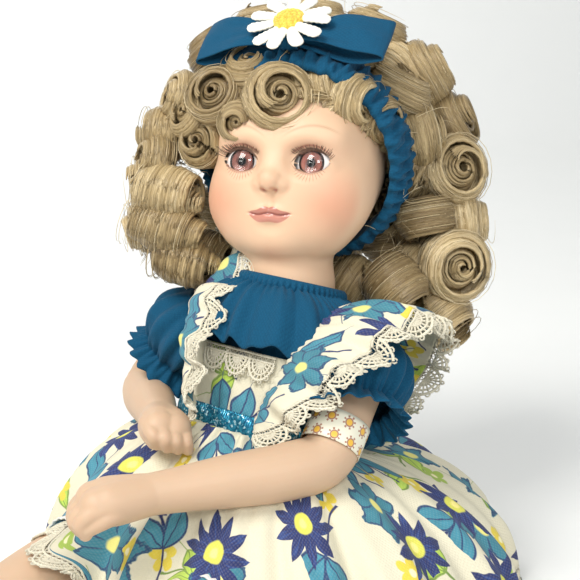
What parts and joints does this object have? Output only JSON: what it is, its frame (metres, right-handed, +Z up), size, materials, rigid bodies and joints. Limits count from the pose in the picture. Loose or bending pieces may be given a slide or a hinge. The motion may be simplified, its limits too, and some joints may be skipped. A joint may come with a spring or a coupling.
{
  "type": "porcelain doll",
  "caption": "Seated, strung bisque doll with jointed limbs, glass eyes, a ringlet wig, a headband with a bow, and a ruffled pinafore over a blouse.",
  "frame": {"origin": "middle of the whole doll's footprint, on the surface that it sits on", "axes": "+Z up, the doll faces -Y, and +X is its left side"},
  "size_m": [0.1296, 0.1837, 0.1619],
  "materials": {
    "bisque": "matte",
    "elastic": "matte",
    "blue_cotton": "matte",
    "print_cotton": "matte",
    "cotton_lace": "matte",
    "metallic_ribbon": "satin",
    "steel": "satin",
    "white_cotton": "matte",
    "shoe_leather": "gloss",
    "card_pate": "matte",
    "eye_white": "gloss",
    "iris": "gloss",
    "clear_lens": "gloss",
    "putty": "matte",
    "lash_fibre": "matte",
    "wig_cap": "matte",
    "wig_hair": "satin",
    "white_felt": "matte",
    "yellow_felt": "matte",
    "wood": "matte",
    "paper": "satin"
  },
  "bodies": {
    "torso": {"torso_shell": "bisque", "arm_elastic": "elastic", "leg_elastic": "elastic", "blouse": "blue_cotton", "blouse_collar": "blue_cotton", "pinafore_bodice": "print_cotton", "bib_lace": "cotton_lace", "left_ruffle": "print_cotton", "right_ruffle": "print_cotton", "left_ruffle_lace": "cotton_lace", "right_ruffle_lace": "cotton_lace", "waist_ribbon": "metallic_ribbon", "back_snaps": "steel", "skirt": "print_cotton", "skirt_lace": "cotton_lace", "petticoat": "white_cotton", "bloomers_seat": "white_cotton"},
    "neck": {"neck_hook": "steel", "neck_loop": "elastic"},
    "head": {"head_shell": "bisque", "crown_pate": "card_pate", "left_eye_white": "eye_white", "right_eye_white": "eye_white", "left_iris": "iris", "right_iris": "iris", "left_cornea": "clear_lens", "right_cornea": "clear_lens", "eye_putty": "putty", "left_lashes": "lash_fibre", "right_lashes": "lash_fibre", "wig_cap": "wig_cap", "wig_fringe": "wig_hair", "wig_back": "wig_hair", "wig_ringlets": "wig_hair", "headband": "blue_cotton", "bow_loops": "blue_cotton", "bow_knot": "blue_cotton", "daisy_petals": "white_felt", "daisy_centre": "yellow_felt", "neck_button": "wood"},
    "left_arm": {"left_arm": "bisque", "left_arm_stud": "steel", "left_sleeve": "blue_cotton", "arm_band": "paper"},
    "right_arm": {"right_arm": "bisque", "right_arm_stud": "steel", "right_sleeve": "blue_cotton"},
    "left_leg": {"left_leg": "bisque", "left_leg_stud": "steel", "left_bloomer_leg": "white_cotton", "left_sock": "white_cotton", "left_shoe": "shoe_leather", "left_shoe_strap": "shoe_leather"},
    "right_leg": {"right_leg": "bisque", "right_leg_stud": "steel", "right_bloomer_leg": "white_cotton", "right_sock": "white_cotton", "right_shoe": "shoe_leather", "right_shoe_strap": "shoe_leather"}
  },
  "joints": [
    {"name": "head_nod", "type": "hinge", "parent": "torso", "child": "neck", "pos_m": [-0.004, 0.03257, 0.07902], "axis": [1, 0, 0], "range_deg": [-6, 6]},
    {"name": "head_turn", "type": "hinge", "parent": "neck", "child": "head", "pos_m": [-0.004, 0.03257, 0.07902], "axis": [-0.1338, 0.3026, 0.9437], "range_deg": [-40, 20]},
    {"name": "left_shoulder", "type": "hinge", "parent": "torso", "child": "left_arm", "pos_m": [0.026, 0.0295, 0.07056], "axis": [-1, 0, 0], "range_deg": [0, 60]},
    {"name": "right_shoulder", "type": "hinge", "parent": "torso", "child": "right_arm", "pos_m": [-0.034, 0.0295, 0.07056], "axis": [-1, 0, 0], "range_deg": [0, 60]},
    {"name": "left_hip", "type": "hinge", "parent": "torso", "child": "left_leg", "pos_m": [0.016, 0.01, 0.017], "axis": [1, 0, 0], "range_deg": [0, 75]},
    {"name": "right_hip", "type": "hinge", "parent": "torso", "child": "right_leg", "pos_m": [-0.024, 0.01, 0.017], "axis": [1, 0, 0], "range_deg": [0, 75]}
  ]
}
